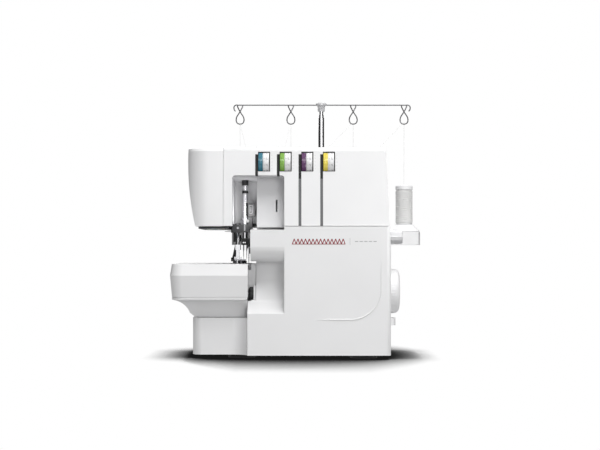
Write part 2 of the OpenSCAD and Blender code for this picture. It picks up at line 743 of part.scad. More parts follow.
module main_shaft() color("silver") {
    rod_x(-58, right_x + 0.4, shaft[0], shaft[1], shaft_d);
    rod_x(pulley_x, pulley_x + pulley_w, shaft[0], shaft[1], 2 * big_pulley_r);
    rod_x(pulley_x - 1.5, pulley_x, shaft[0], shaft[1], 2 * big_pulley_r + 5);
    rod_x(pulley_x + pulley_w, pulley_x + pulley_w + 1.5, shaft[0], shaft[1], 2 * big_pulley_r + 5);
}

module motor() color("dimgray") difference() {
    union() {
        rod_x(-10, 55.9, motor_c[0], motor_c[1], 46);
        rod_x(55.9, 58, motor_c[0], motor_c[1], 15.8);
    }
    rod_x(40, 59, motor_c[0], motor_c[1], 6.1);
}

module motor_pulley() color("silver") {
    rod_x(42, pulley_x + pulley_w + 1.5, motor_c[0], motor_c[1], 6);
    rod_x(pulley_x, pulley_x + pulley_w, motor_c[0], motor_c[1], 2 * small_pulley_r);
    rod_x(pulley_x - 1.5, pulley_x, motor_c[0], motor_c[1], 2 * small_pulley_r + 5);
    rod_x(pulley_x + pulley_w, pulley_x + pulley_w + 1.5, motor_c[0], motor_c[1], 2 * small_pulley_r + 5);
}

// Loop round both pulleys, o outside them
module belt_loop(o) hull() {
    translate(shaft) circle(big_pulley_r + o, $fn = 32);
    translate(motor_c) circle(small_pulley_r + o, $fn = 32);
}

module drive_belt() color("black") along_x(pulley_x + 0.6, pulley_x + pulley_w - 0.6) difference() {
    belt_loop(2.2);
    belt_loop(0.4);
}

// ---- Thread tension ----

// Thumbwheel i of the tension units: its coloured band is on the left
module tension_dial(i) {
    x0 = slot_x(i) + 2.2;
    difference() {
        union() {
            rod_x(x0, x0 + dial_w, dial_y, dial_z, 2 * dial_r - 0.6);
            rod_x(x0 + 0.4, x0 + 5.8, dial_y, dial_z, 2 * dial_r);
            rod_x(x0 + 6.6, x0 + dial_w - 0.4, dial_y, dial_z, 2 * dial_r);
        }
        rod_x(x0 - 1, x0 + dial_w + 1, dial_y, dial_z, 5.1);
    }
}
module tension_dial_1() color("teal") tension_dial(0);
module tension_dial_2() color("yellowgreen") tension_dial(1);
module tension_dial_3() color("purple") tension_dial(2);
module tension_dial_4() color("gold") tension_dial(3);

module tension_discs() color("silver") {
    rod_x(slot_x(0) - 6, slot_x(3) + 18, dial_y, dial_z, 5);
    for (i = [0 : 3], s = [-1, 1]) difference() {
        rod_x(slot_x(i) + s * 0.7 - 0.35, slot_x(i) + s * 0.7 + 0.35, dial_y, dial_z, 17);
        rod_x(slot_x(i) - 2, slot_x(i) + 2, dial_y, dial_z, 5);
    }
}

module top_thread_guides() color("silver") for (x = guide_x) {
    block([x - 5, guide_y - 3, body_h], [x + 5, guide_y + 3, body_h + 0.8]);
    translate([x, guide_y, body_h + 3.2]) rotate([90, 0, 0]) rotate_extrude() translate([2.2, 0]) circle(d = 1, $fn = 24);
}

// ---- Right side ----

module stitch_dial(y) {
    x0 = right_at(150.5) + 0.4;
    rod_x(x0, 134.6, y, 160.5, stitch_dial_d);
    rod_x(x0 - 9, x0, y, 160.5, 7.4);
}
module stitch_length_dial() color("silver") stitch_dial(stitch_dial_places()[0]);
module differential_dial() color("silver") stitch_dial(stitch_dial_places()[1]);

module power_switch() color("white") {
    intersection() {
        block([right_x - 4, switch_y - 10, 41], [right_x + 11, switch_y + 10, 51]);
        rod_z(40, 52, right_x - 9, switch_y, 40);
    }
    rod_z(40.4, 51.6, right_x - 3, switch_y, 3);
}

module power_inlet() color("black") difference() {
    block([right_x - 16, inlet_y - 14.9, 34.1], [right_x + 1, inlet_y + 14.9, 55.9]);
    block([right_x - 13, inlet_y - 12, 37], [right_x + 2, inlet_y + 12, 53]);
}

// ---- Thread stand ----

// Front half of the tray's outline, inset by i; it widens to the back on the right
module tray_front(i) polygon([
    [tray_x0 + i, back_y + 0.3 + i], [tray_x1 - 6 - i, back_y + 0.3 + i], [tray_x1 - i, tray_ym], [tray_x0 + i, tray_ym]
]);

module spool_tray() color("white") {
    difference() {
        along_z(tray_z0, tray_z - 1) {
            tray_front(0);
            rrect(tray_x0, tray_ym - 25, tray_x1, tray_y1, 22);
        }
        along_z(tray_z0 - 1, tray_z - 1 - wall) {
            tray_front(wall);
            rrect(tray_x0 + wall, tray_ym - 25, tray_x1 - wall, tray_y1 - wall, 20);
        }
        rod_z(tray_z0, tray_z, mast[0], mast[1], mast_d);
    }
    difference() {
        rod_z(tray_z0 + 2, tray_z - 2, mast[0], mast[1], mast_d + 8);
        rod_z(tray_z0, tray_z, mast[0], mast[1], mast_d);
    }
}

module spool_holders() color("white") for (x = spool_x) translate([x, mast[1], tray_z - 1]) {
    cylinder(h = 2, d = 30);
    translate([0, 0, 0.6]) cylinder(h = 10, d1 = 46, d2 = 25);
    cylinder(h = 62, d = 5);
}

// Thread spool: the winding on its core, and the core's wide rim above it
module spool(x) translate([x, mast[1], 0]) difference() {
    union() {
        rod_z(180, 230.6, 0, 0, spool_d);
        rod_z(230.6, 236.9, 0, 0, spool_d - 0.6);
    }
    rod_z(179, 240, 0, 0, 5.1);
}
module spool_1() color("silver") spool(spool_x[0]);
module spool_2() color("silver") spool(spool_x[1]);
module spool_3() color("silver") spool(spool_x[2]);
module spool_4() color("silver") spool(spool_x[3]);

module tube(z0, z1, d, bore) difference() {
    rod_z(z0, z1, mast[0], mast[1], d);
    rod_z(z0 - 1, z1 + 1, mast[0], mast[1], bore);
}
module mast_outer_tube() color("silver") tube(tray_z0 + 2, 336, mast_d, mast_d - 1.2);
module mast_middle() color("silver") tube(tray_z0 + 6, 340, mast_d - 1.3, mast_d - 2.4);
module mast_inner() color("silver") rod_z(tray_z0 + 8, mast_top_z + 1.5, mast[0], mast[1], mast_d - 2.5);

module guide_holder() color("black") difference() {
    union() {
        rod_z(mast_top_z + 1.6, bar_z - 1.2, mast[0], mast[1], 10.8);
        rod_z(bar_z - 1.3, 358, mast[0], mast[1], 16);
    }
    rod_x(mast[0] - 12, mast[0] + 12, mast[1], bar_z, wire_d);
}

module guide_bar() color("silver") {
    x0 = rack_x - guide_bar_l / 2;
    x1 = rack_x + guide_bar_l / 2;
    rod_x(x0, x1, mast[1], bar_z, wire_d);
    for (x = [x0, x1]) translate([x, mast[1], bar_z]) {
        translate([0, 0, -10]) cylinder(h = 10.5, d = wire_d);
    }
    // hanging eyes, one over each spool
    for (x = spool_x) translate([x, mast[1], bar_z]) {
        translate([0, wire_d / 2, loop_c_z]) rotate([90, 0, 0]) difference() {
            cylinder(h = wire_d, r = loop_r + wire_d / 2);
            translate([0, 0, -1]) cylinder(h = wire_d + 2, r = loop_r - wire_d / 2);
        }
        translate([0, 0, loop_c_z + loop_r]) cylinder(h = -loop_c_z - loop_r, d = wire_d - 0.2);
    }
}

// Straight stretch of thread that ends just short of both points
module thread(a, b) {
    v = b - a;
    l = norm(v);
    translate(a) rotate([0, acos(v[2] / l), atan2(v[1], v[0])]) translate([0, 0, 0.4]) {
        cylinder(h = l - 0.8, d = 0.4, $fn = 8);
    }
}

module threads() color("white") for (i = [0 : 3]) {
    eye = [spool_x[i], mast[1] + 1.6, bar_z + loop_c_z - 1.8];
    top = [guide_x[i], guide_y, body_h + 3.2];
    thread([spool_x[i], mast[1], 237.2], eye);
    thread(eye, top);
    thread(top, [slot_x(i), front_at(body_h) + 4, body_h + 0.5]);
}

module case_screws() color("silver") for (p = back_screw_places()) {
    rod_y(back_y, back_y + 1.4, p[0], p[1], 6.4);
    rod_y(back_y - 8, back_y + 0.1, p[0], p[1], 3.2);
}

bottom_pan();
rubber_feet();
rear_housing();
front_panel();
head_end_cover();
needle_bay_liner();
head_bottom_plate();
lamp_lens();
cast_frame();
free_arm();
needle_plate();
base_side_cover();
spool_tray();
spool_holders();
mast_outer_tube();
power_inlet();
motor();
drive_belt();
shaft_bushes();
top_thread_guides();
tension_discs();
case_screws();
presser_spring();
threads();
handwheel();
main_shaft();
motor_pulley();
needle_bar();
needle_clamp();
needles();
upper_looper();
lower_looper();
upper_knife_arm();
upper_knife();
lower_knife();
cutting_width_dial();
feed_dogs();
presser_bar();
presser_foot();
foot_lifter();
pressure_dial();
tension_dial_1();
tension_dial_2();
tension_dial_3();
tension_dial_4();
cover_hinge_rod();
looper_cover();
table_top();
table_skirt();
stitch_length_dial();
differential_dial();
power_switch();
mast_middle();
mast_inner();
guide_holder();
guide_bar();
spool_1();
spool_2();
spool_3();
spool_4();
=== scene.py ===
import json
import math

import bmesh
import bpy
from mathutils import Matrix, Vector


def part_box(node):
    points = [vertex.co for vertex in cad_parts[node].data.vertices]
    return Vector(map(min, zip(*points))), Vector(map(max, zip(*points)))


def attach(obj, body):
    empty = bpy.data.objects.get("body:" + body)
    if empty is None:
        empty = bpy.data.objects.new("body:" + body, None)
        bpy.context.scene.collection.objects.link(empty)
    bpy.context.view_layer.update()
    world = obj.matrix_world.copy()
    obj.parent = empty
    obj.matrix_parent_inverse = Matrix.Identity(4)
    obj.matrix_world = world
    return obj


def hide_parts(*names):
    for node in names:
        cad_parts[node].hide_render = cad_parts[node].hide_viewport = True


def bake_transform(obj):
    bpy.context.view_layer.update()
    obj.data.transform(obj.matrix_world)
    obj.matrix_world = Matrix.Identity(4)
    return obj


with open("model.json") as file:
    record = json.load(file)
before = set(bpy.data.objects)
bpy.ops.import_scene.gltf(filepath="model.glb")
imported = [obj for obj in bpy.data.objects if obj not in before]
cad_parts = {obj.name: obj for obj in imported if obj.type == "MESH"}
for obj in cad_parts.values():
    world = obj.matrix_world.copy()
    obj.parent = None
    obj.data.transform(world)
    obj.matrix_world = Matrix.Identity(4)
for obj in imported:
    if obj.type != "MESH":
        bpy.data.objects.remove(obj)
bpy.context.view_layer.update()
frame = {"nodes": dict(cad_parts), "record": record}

MM = 0.001
TAU = 2 * math.pi
NODES = frame["nodes"]


# ---- Camera, lights, floor and background ----

def look_at(obj, target):
    obj.rotation_euler = (Vector(target) - obj.location).to_track_quat("-Z", "Y").to_euler()


def make_camera():
    cam = bpy.data.cameras.new("camera")
    cam.sensor_width = 36
    cam.lens = 87.7
    cam.shift_y = 0.039
    cam.clip_start = 0.05
    obj = bpy.data.objects.new("camera", cam)
    bpy.context.collection.objects.link(obj)
    obj.location = (-0.0035, -2.045, 0.145)
    obj.rotation_euler = (math.pi / 2, 0, 0)
    bpy.context.scene.camera = obj


def area_light(name, place, target, size, power):
    data = bpy.data.lights.new(name, "AREA")
    data.shape = "RECTANGLE"
    data.size, data.size_y = size
    data.energy = power
    obj = bpy.data.objects.new(name, data)
    bpy.context.collection.objects.link(obj)
    obj.location = place
    look_at(obj, target)
    obj.visible_camera = False
    return obj


def background(nodes, links, strength_from=None, strength=1.0):
    node = nodes.new("ShaderNodeBackground")
    node.inputs["Color"].default_value = (1, 1, 1, 1)
    node.inputs["Strength"].default_value = strength
    if strength_from:
        links.new(strength_from, node.inputs["Strength"])
    return node


def map_node(nodes, links, source, start, end, low, high):
    node = nodes.new("ShaderNodeMapRange")
    node.inputs["From Min"].default_value = start
    node.inputs["From Max"].default_value = end
    node.inputs["To Min"].default_value = low
    node.inputs["To Max"].default_value = high
    links.new(source, node.inputs["Value"])
    return node.outputs["Result"]


def math_node(nodes, links, operation, a, b=2.0):
    node = nodes.new("ShaderNodeMath")
    node.operation = operation
    links.new(a, node.inputs[0])
    if isinstance(b, float):
        node.inputs[1].default_value = b
    else:
        links.new(b, node.inputs[1])
    return node.outputs[0]


def make_world(side=0.16, top=0.50, dark=0.03, bright=1.15):
    """White where the camera sees it. As a light it is dimmer at the sides than overhead, and what polished
    metal mirrors is a white panel in front of the machine and a white ceiling, between dark walls."""
    world = bpy.data.worlds.new("studio")
    bpy.context.scene.world = world
    world.use_nodes = True
    nodes, links = world.node_tree.nodes, world.node_tree.links
    nodes.clear()
    split = nodes.new("ShaderNodeSeparateXYZ")
    links.new(nodes.new("ShaderNodeTexCoord").outputs["Generated"], split.inputs[0])
    lit = background(nodes, links, map_node(nodes, links, split.outputs["Z"], -0.3, 0.9, side, top))
    panel = map_node(nodes, links, split.outputs["Y"], -0.80, -0.93, dark, bright)
    roof = map_node(nodes, links, split.outputs["Z"], 0.25, 0.6, dark, bright)
    mirrored = background(nodes, links, math_node(nodes, links, "MAXIMUM", panel, roof))
    seen = background(nodes, links)
    path = nodes.new("ShaderNodeLightPath")
    glossy = nodes.new("ShaderNodeMixShader")
    links.new(path.outputs["Is Glossy Ray"], glossy.inputs["Fac"])
    links.new(lit.outputs[0], glossy.inputs[1])
    links.new(mirrored.outputs[0], glossy.inputs[2])
    final = nodes.new("ShaderNodeMixShader")
    links.new(path.outputs["Is Camera Ray"], final.inputs["Fac"])
    links.new(glossy.outputs[0], final.inputs[1])
    links.new(seen.outputs[0], final.inputs[2])
    out = nodes.new("ShaderNodeOutputWorld")
    links.new(final.outputs[0], out.inputs["Surface"])


def make_floor(lit=0.55, reach=0.21, side_reach=0.07):
    """A glowing white floor: as seen, its glow is dimmed by occlusion near the machine into a painted soft
    contact shadow, short at its sides; to other rays it glows evenly as a light.
    """
    mesh = bpy.data.meshes.new("floor")
    size = 14.0
    mesh.from_pydata([(-size, -size, 0), (size, -size, 0), (size, size, 0), (-size, size, 0)], [],
                     [(0, 1, 2, 3)])
    floor = bpy.data.objects.new("floor", mesh)
    bpy.context.collection.objects.link(floor)
    mat = bpy.data.materials.new("floor")
    mat.use_nodes = True
    nodes, links = mat.node_tree.nodes, mat.node_tree.links
    nodes.clear()
    split = nodes.new("ShaderNodeSeparateXYZ")
    links.new(nodes.new("ShaderNodeNewGeometry").outputs["Position"], split.inputs[0])
    from_middle = math_node(nodes, links, "ABSOLUTE", split.outputs["X"])
    # painted contact shadow: occlusion near the machine dims the floor's glow as seen
    shade = nodes.new("ShaderNodeAmbientOcclusion")
    shade.samples = 16
    links.new(map_node(nodes, links, from_middle, 0.08, 0.16, reach, side_reach), shade.inputs["Distance"])
    open_sky = map_node(nodes, links, shade.outputs["AO"], 0.5, 1, 0.1, 1)
    soft = math_node(nodes, links, "POWER", open_sky)
    seen = nodes.new("ShaderNodeEmission")
    links.new(soft, seen.inputs["Strength"])
    floor_glow = nodes.new("ShaderNodeEmission")
    floor_glow.inputs["Strength"].default_value = lit
    path = nodes.new("ShaderNodeLightPath")
    mix = nodes.new("ShaderNodeMixShader")
    links.new(path.outputs["Is Camera Ray"], mix.inputs["Fac"])
    links.new(floor_glow.outputs[0], mix.inputs[1])
    links.new(seen.outputs[0], mix.inputs[2])
    out = nodes.new("ShaderNodeOutputMaterial")
    links.new(mix.outputs[0], out.inputs["Surface"])
    mesh.materials.append(mat)


# ---- Materials ----

def new_material(name):
    mat = bpy.data.materials.new(name)
    mat.use_nodes = True
    return mat, mat.node_tree.nodes, mat.node_tree.links, mat.node_tree.nodes["Principled BSDF"]


def noise_node(nodes, links, scale, detail=3.0, stretch=None):
    """Noise in the object's own coordinates, so that it stays on a piece as the piece moves."""
    tex = nodes.new("ShaderNodeTexNoise")
    tex.inputs["Scale"].default_value = scale
    tex.inputs["Detail"].default_value = detail
    place = nodes.new("ShaderNodeTexCoord")
    source = place.outputs["Object"]
    if stretch:
        scaled = nodes.new("ShaderNodeVectorMath")
        scaled.operation = "MULTIPLY"
        scaled.inputs[1].default_value = stretch
        links.new(source, scaled.inputs[0])
        source = scaled.outputs[0]
    links.new(source, tex.inputs["Vector"])
    return tex


def ramp_node(nodes, links, source, low, high, start=0.3, end=0.7):
    ramp = nodes.new("ShaderNodeValToRGB")
    ramp.color_ramp.elements[0].position = start
    ramp.color_ramp.elements[1].position = end
    ramp.color_ramp.elements[0].color = (*low, 1) if len(low) == 3 else low
    ramp.color_ramp.elements[1].color = (*high, 1) if len(high) == 3 else high
    links.new(source, ramp.inputs["Fac"])
    return ramp


def range_node(nodes, links, source, low, high):
    span = nodes.new("ShaderNodeMapRange")
    span.inputs["From Min"].default_value = 0.3
    span.inputs["From Max"].default_value = 0.7
    span.inputs["To Min"].default_value = low
    span.inputs["To Max"].default_value = high
    links.new(source, span.inputs["Value"])
    return span


def bump_node(nodes, links, source, strength, distance):
    bump = nodes.new("ShaderNodeBump")
    bump.inputs["Strength"].default_value = strength
    bump.inputs["Distance"].default_value = distance
    links.new(source, bump.inputs["Height"])
    return bump


def moulded(name, colour, rough=(0.30, 0.38), grain=0.08, grain_scale=2600, spread=0.03, coat=0.0, metal=0.0):
    """Injection-moulded plastic: a faint variation in colour and gloss, and a fine spark-eroded grain."""
    mat, nodes, links, shader = new_material(name)
    broad = noise_node(nodes, links, 14, 2)
    low = tuple(c * (1 - spread) for c in colour)
    tint = ramp_node(nodes, links, broad.outputs["Fac"], low, colour)
    links.new(tint.outputs["Color"], shader.inputs["Base Color"])
    patch = noise_node(nodes, links, 60, 3)
    gloss = range_node(nodes, links, patch.outputs["Fac"], *rough)
    links.new(gloss.outputs["Result"], shader.inputs["Roughness"])
    fine = noise_node(nodes, links, grain_scale, 2)
    bump = bump_node(nodes, links, fine.outputs["Fac"], grain, 0.00006)
    links.new(bump.outputs["Normal"], shader.inputs["Normal"])
    shader.inputs["Metallic"].default_value = metal
    if coat:
        shader.inputs["Coat Weight"].default_value = coat
        shader.inputs["Coat Roughness"].default_value = 0.08
    return mat


def polished(name, colour, rough=(0.05, 0.11), grain=0.04):
    """Chrome plate: mirror-like, with faint polishing haze."""
    mat, nodes, links, shader = new_material(name)
    haze = noise_node(nodes, links, 220, 4)
    tint = ramp_node(nodes, links, haze.outputs["Fac"], tuple(c * 0.93 for c in colour), colour)
    links.new(tint.outputs["Color"], shader.inputs["Base Color"])
    gloss = range_node(nodes, links, haze.outputs["Fac"], *rough)
    links.new(gloss.outputs["Result"], shader.inputs["Roughness"])
    bump = bump_node(nodes, links, haze.outputs["Fac"], grain, 0.00005)
    links.new(bump.outputs["Normal"], shader.inputs["Normal"])
    shader.inputs["Metallic"].default_value = 1
    return mat


def brushed(name, colour, stretch, rough=(0.22, 0.36)):
    """Ground steel: fine scratches drawn out along one direction."""
    mat, nodes, links, shader = new_material(name)
    lines = noise_node(nodes, links, 900, 4, stretch)
    tint = ramp_node(nodes, links, lines.outputs["Fac"], tuple(c * 0.82 for c in colour), colour)
    links.new(tint.outputs["Color"], shader.inputs["Base Color"])
    gloss = range_node(nodes, links, lines.outputs["Fac"], *rough)
    links.new(gloss.outputs["Result"], shader.inputs["Roughness"])
    bump = bump_node(nodes, links, lines.outputs["Fac"], 0.12, 0.00004)
    links.new(bump.outputs["Normal"], shader.inputs["Normal"])
    shader.inputs["Metallic"].default_value = 1
    return mat


def wound_thread(name, colour, pitch=0.00042):
    """Cross-wound thread on a spool: fine slanting lines with a soft sheen."""
    mat, nodes, links, shader = new_material(name)
    place = nodes.new("ShaderNodeTexCoord")
    turned = nodes.new("ShaderNodeMapping")
    turned.inputs["Rotation"].default_value = (math.radians(9), math.radians(7), 0)
    links.new(place.outputs["Object"], turned.inputs["Vector"])
    wave = nodes.new("ShaderNodeTexWave")
    wave.bands_direction = "Z"
    wave.inputs["Scale"].default_value = 0.314 / pitch / 2
    wave.inputs["Distortion"].default_value = 1.2
    wave.inputs["Detail"].default_value = 2
    wave.inputs["Detail Scale"].default_value = 2
    links.new(turned.outputs[0], wave.inputs["Vector"])
    tint = ramp_node(nodes, links, wave.outputs["Fac"], tuple(c * 0.72 for c in colour), colour, 0.1, 0.8)
    links.new(tint.outputs["Color"], shader.inputs["Base Color"])
    bump = bump_node(nodes, links, wave.outputs["Fac"], 0.6, 0.0002)
    links.new(bump.outputs["Normal"], shader.inputs["Normal"])
    shader.inputs["Roughness"].default_value = 0.55
    shader.inputs["Sheen Weight"].default_value = 0.3
    return mat


def frosted(name):
    """Frosted lamp lens."""
    mat, nodes, links, shader = new_material(name)
    fine = noise_node(nodes, links, 1500, 2)
    tint = ramp_node(nodes, links, fine.outputs["Fac"], (0.80, 0.78, 0.70), (0.95, 0.93, 0.86))
    links.new(tint.outputs["Color"], shader.inputs["Base Color"])
    bump = bump_node(nodes, links, fine.outputs["Fac"], 0.3, 0.0001)
    links.new(bump.outputs["Normal"], shader.inputs["Normal"])
    shader.inputs["Roughness"].default_value = 0.5
    shader.inputs["Subsurface Weight"].default_value = 0.3
    return mat


MATERIALS = {
    "white_shell": moulded("white_shell", (0.83, 0.83, 0.835), coat=0.15),
    "white_table": moulded("white_table", (0.80, 0.80, 0.805), coat=0.15),
    "grey_plastic": moulded("grey_plastic", (0.70, 0.70, 0.71), rough=(0.4, 0.5)),
    # groove_grey: dark grey for the floors of the shallow thread slots, painted shade
    "groove_grey": moulded("groove_grey", (0.14, 0.14, 0.145), rough=(0.4, 0.5)),
    "dark_plastic": moulded("dark_plastic", (0.045, 0.045, 0.05), rough=(0.35, 0.5), spread=0.2),
    "black_plastic": moulded("black_plastic", (0.006, 0.006, 0.0065), rough=(0.45, 0.55), spread=0.2),
    "teal_dial": moulded("teal_dial", (0.03, 0.17, 0.24), rough=(0.12, 0.2)),
    "green_dial": moulded("green_dial", (0.22, 0.44, 0.07), rough=(0.12, 0.2)),
    "purple_dial": moulded("purple_dial", (0.11, 0.035, 0.12), rough=(0.12, 0.2)),
    "yellow_dial": moulded("yellow_dial", (0.80, 0.66, 0.10), rough=(0.12, 0.2)),
    "chrome": polished("chrome", (0.86, 0.86, 0.88)),
    # nearly black steel for the tension discs: the dark colour is a painted dark reflection that stands in
    # for what bare steel discs mirror, not a blackened finish
    "blackened_steel": polished("blackened_steel", (0.06, 0.06, 0.062), rough=(0.3, 0.42)),
    "wire": polished("wire", (0.13, 0.13, 0.135), rough=(0.28, 0.38)),
    "steel": brushed("steel", (0.56, 0.56, 0.58), (1, 0.08, 1)),
    "painted_casting": moulded("painted_casting", (0.02, 0.02, 0.022), rough=(0.3, 0.45), grain=0.3,
                               grain_scale=900),
    "rubber": moulded("rubber", (0.012, 0.012, 0.012), rough=(0.6, 0.75), grain=0.4, grain_scale=1400,
                      spread=0.3),
    "lens": frosted("lens"),
    "silver_plastic": moulded("silver_plastic", (0.56, 0.56, 0.57), rough=(0.25, 0.35), metal=0.2),
    "spool_thread": wound_thread("spool_thread", (0.76, 0.76, 0.75)),
    "thread": moulded("thread", (0.66, 0.66, 0.65), rough=(0.6, 0.7), grain=0.5, grain_scale=5000),
    "print_grey": moulded("print_grey", (0.30, 0.30, 0.31), rough=(0.4, 0.5)),
    "print_pale": moulded("print_pale", (0.50, 0.50, 0.51), rough=(0.4, 0.5)),
    "print_red": moulded("print_red", (0.27, 0.008, 0.02), rough=(0.35, 0.45)),
}


# ---- Shapes ----

class Shape:
    """Closed solids gathered in one mesh. Places are in millimetres, and mat picks one of its materials."""

    def __init__(self):
        self.bm = bmesh.new()

    def skin(self, rings, mat=0, loop=False):
        """Joins rings of points. With loop the last ring meets the first, or else both ends are closed."""
        rows = [[self.bm.verts.new(Vector(p) * MM) for p in ring] for ring in rings]
        pairs = list(zip(rows, rows[1:] + rows[:1] if loop else rows[1:]))
        count = len(rows[0])
        faces = []
        for low, high in pairs:
            for i in range(count):
                j = (i + 1) % count
                faces.append(self.bm.faces.new((low[i], low[j], high[j], high[i])))
        if not loop:
            faces.append(self.bm.faces.new(rows[0][::-1]))
            faces.append(self.bm.faces.new(rows[-1]))
        for face in faces:
            face.material_index = mat
            face.smooth = True

    def lathe(self, profile, centre, axis="Z", turns=64, mat=0, loop=False, flutes=0):
        """Turns (radius, height, flute depth) points round an axis through centre."""
        rings = []
        for radius, height, *depth in profile:
            cut = depth[0] if depth else 0
            ring = []
            for k in range(turns):
                a = TAU * k / turns
                r = radius - cut * (0.5 + 0.5 * math.cos(a * flutes))
                ring.append(on_axis(centre, axis, height, r, a))
            rings.append(ring)
        self.skin(rings, mat, loop)

    def tube(self, points, radius, sides=10, mat=0, loop=False):
        """Sweeps a round section along points; radius may be a function of the share of the way."""
        points = [Vector(p) for p in points]
        count = len(points)
        normal = None
        rings = []
        for k, p in enumerate(points):
            if loop:
                way = points[(k + 1) % count] - points[k - 1]
            else:
                way = points[min(k + 1, count - 1)] - points[max(k - 1, 0)]
            way.normalize()
            if normal is None:
                normal = way.orthogonal().normalized()
            normal = (normal - way * normal.dot(way)).normalized()
            side = way.cross(normal)
            r = radius(k / (count - 1)) if callable(radius) else radius
            rings.append([p + (normal * math.cos(TAU * i / sides) + side * math.sin(TAU * i / sides)) * r
                          for i in range(sides)])
        self.skin(rings, mat, loop)

    def prism(self, outline, shift, mat=0):
        """Carries an outline of 3D points along shift."""
        shift = Vector(shift)
        self.skin([outline, [Vector(p) + shift for p in outline]], mat)

    def box(self, low, high, mat=0):
        x0, y0, z0 = low
        x1, y1, z1 = high
        self.prism([(x0, y0, z0), (x1, y0, z0), (x1, y1, z0), (x0, y1, z0)], (0, 0, z1 - z0), mat)


def on_axis(centre, axis, along, radius, angle):
    """A point at the given radius and angle round an axis, and so far along it."""
    c, s = radius * math.cos(angle), radius * math.sin(angle)
    offset = {"X": (along, c, s), "Y": (c, along, s), "Z": (c, s, along)}[axis]
    return Vector(centre) + Vector(offset)


def smooth_path(points, steps=8, loop=False):
    """A smooth curve through points."""
    points = [Vector(p) for p in points]
    count = len(points)
    path = []
    for k in range(count if loop else count - 1):
        if loop:
            a, b, c, d = (points[(k + o) % count] for o in (-1, 0, 1, 2))
        else:
            a, b, c, d = (points[min(max(k + o, 0), count - 1)] for o in (-1, 0, 1, 2))
        for step in range(steps):
            t = step / steps
            path.append(0.5 * (2 * b + (c - a) * t + (2 * a - 5 * b + 4 * c - d) * t * t
                               + (3 * b - a - 3 * c + d) * t ** 3))
    if not loop:
        path.append(points[-1])
    return path


def piece(name, shape, materials, body, stands_for=(), bevel=0.0):
    """Makes a finished object of a shape: closed faces outward, materials, body and replaced nodes."""
    bmesh.ops.recalc_face_normals(shape.bm, faces=shape.bm.faces)
    mesh = bpy.data.meshes.new(name)
    shape.bm.to_mesh(mesh)
    shape.bm.free()
    obj = bpy.data.objects.new(name, mesh)
    bpy.context.collection.objects.link(obj)
    for material in materials:
        mesh.materials.append(MATERIALS[material])
    mesh.set_sharp_from_angle(angle=math.radians(35))
    if bevel:
        add_bevel(obj, bevel)
    if body:
        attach(obj, body)
    if stands_for:
        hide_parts(*stands_for)
    return obj


def add_bevel(obj, width, angle=40):
    bevel = obj.modifiers.new("edge", "BEVEL")
    bevel.width = width * MM
    bevel.segments = 3
    bevel.limit_method = "ANGLE"
    bevel.angle_limit = math.radians(angle)
    bevel.use_clamp_overlap = True
    bevel.harden_normals = True


def span(node):
    """Lowest corner, highest corner and middle of a CAD node, in millimetres."""
    low, high = (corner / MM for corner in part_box(node))
    return low, high, (low + high) / 2


def dress_frame():
    """Gives every CAD node the material of its slot."""
    for part in frame["record"]["subparts"]:
        obj = NODES[part["node"]]
        obj.data.materials.clear()
        obj.data.materials.append(MATERIALS[part["material_slot"]])


EDGE = {
    "rear_housing": 1.4, "front_panel": 0.9, "head_end_cover": 0.8, "looper_cover": 0.9, "table_top": 1.6,
    "table_skirt": 1.0, "base_side_cover": 1.2, "free_arm": 0.8, "spool_tray": 1.6, "needle_bay_liner": 0.3,
    "cast_frame": 0.5, "rubber_feet": 1.2, "presser_foot": 0.3, "foot_lifter": 1.0, "power_switch": 0.6,
    "presser_bar": 0.4, "upper_knife_arm": 0.5, "bottom_pan": 0.4, "head_bottom_plate": 0.8, "lamp_lens": 0.6,
    "needle_plate": 0.15, "motor": 0.8, "power_inlet": 0.5, "case_screws": 0.3,
}


# nodes whose curves are made of flat facets, and the angle in degrees from which an edge counts as sharp
FACETED = {"head_end_cover": 12, "table_top": 8}


def round_edges(name, width):
    """Welds a CAD node's faces at their shared corners and rounds its sharp edges."""
    obj = NODES[name]
    if name in FACETED:
        obj.data.attributes.remove(obj.data.attributes["custom_normal"])
        obj.data.shade_smooth()
    weld = obj.modifiers.new("weld", "WELD")
    weld.merge_threshold = 0.00002
    add_bevel(obj, width, FACETED.get(name, 40))


# ---- Places, in millimetres, worked out from the frame ----

PANEL_LOW, PANEL_HIGH, _ = span("front_panel")
COVER_LOW, COVER_HIGH, _ = span("looper_cover")
FRONT = COVER_LOW.y
PANEL_Z0 = PANEL_LOW.z
PANEL_Z1 = PANEL_HIGH.z
LEAN = 8 / (PANEL_Z1 - PANEL_Z0)
DIALS = ("teal_dial", "green_dial", "purple_dial", "yellow_dial")
SLOT_W = 3.6
DIAL_GAP = 2.2          # from the middle of a slot to its dial
WINDOW_W = 16.4         # from the middle of a slot to the right edge of its window
WINDOW_Z = (246, 269.8)
BLACK_SLOT_Z = 236      # below this a slot is only a shallow groove
SLOT_TOP_Z = 268
BAY_TOP_Z = PANEL_Z0 + 66
MIDDLE_GUIDES_X = (-26.4, 29.3)


def front_at(z):
    """y of the panel's sloping front at height z."""
    return FRONT + 2 + (z - PANEL_Z0) * LEAN


def slot_x(i):
    return span(f"tension_dial_{i + 1}")[0].x - DIAL_GAP


# ---- Tension dials and what surrounds them ----

SEGMENTS = {
    # strokes of each digit as (u0, v0, u1, v1) cells on a grid 2 wide and 4 high
    "top": (0, 4, 2, 4), "middle": (0, 2, 2, 2), "bottom": (0, 0, 2, 0), "upper_left": (0, 2, 0, 4),
    "upper_right": (2, 2, 2, 4), "lower_left": (0, 0, 0, 2), "lower_right": (2, 0, 2, 2),
}
DIGITS = [
    "top upper_left upper_right lower_left lower_right bottom", "upper_right lower_right",
    "top upper_right middle lower_left bottom", "top upper_right middle lower_right bottom",
    "upper_left upper_right middle lower_right", "top upper_left middle lower_right bottom",
    "top upper_left middle lower_left lower_right bottom", "top upper_right lower_right",
    "top upper_left upper_right middle lower_left lower_right bottom",
    "top upper_left upper_right middle lower_right bottom",
]


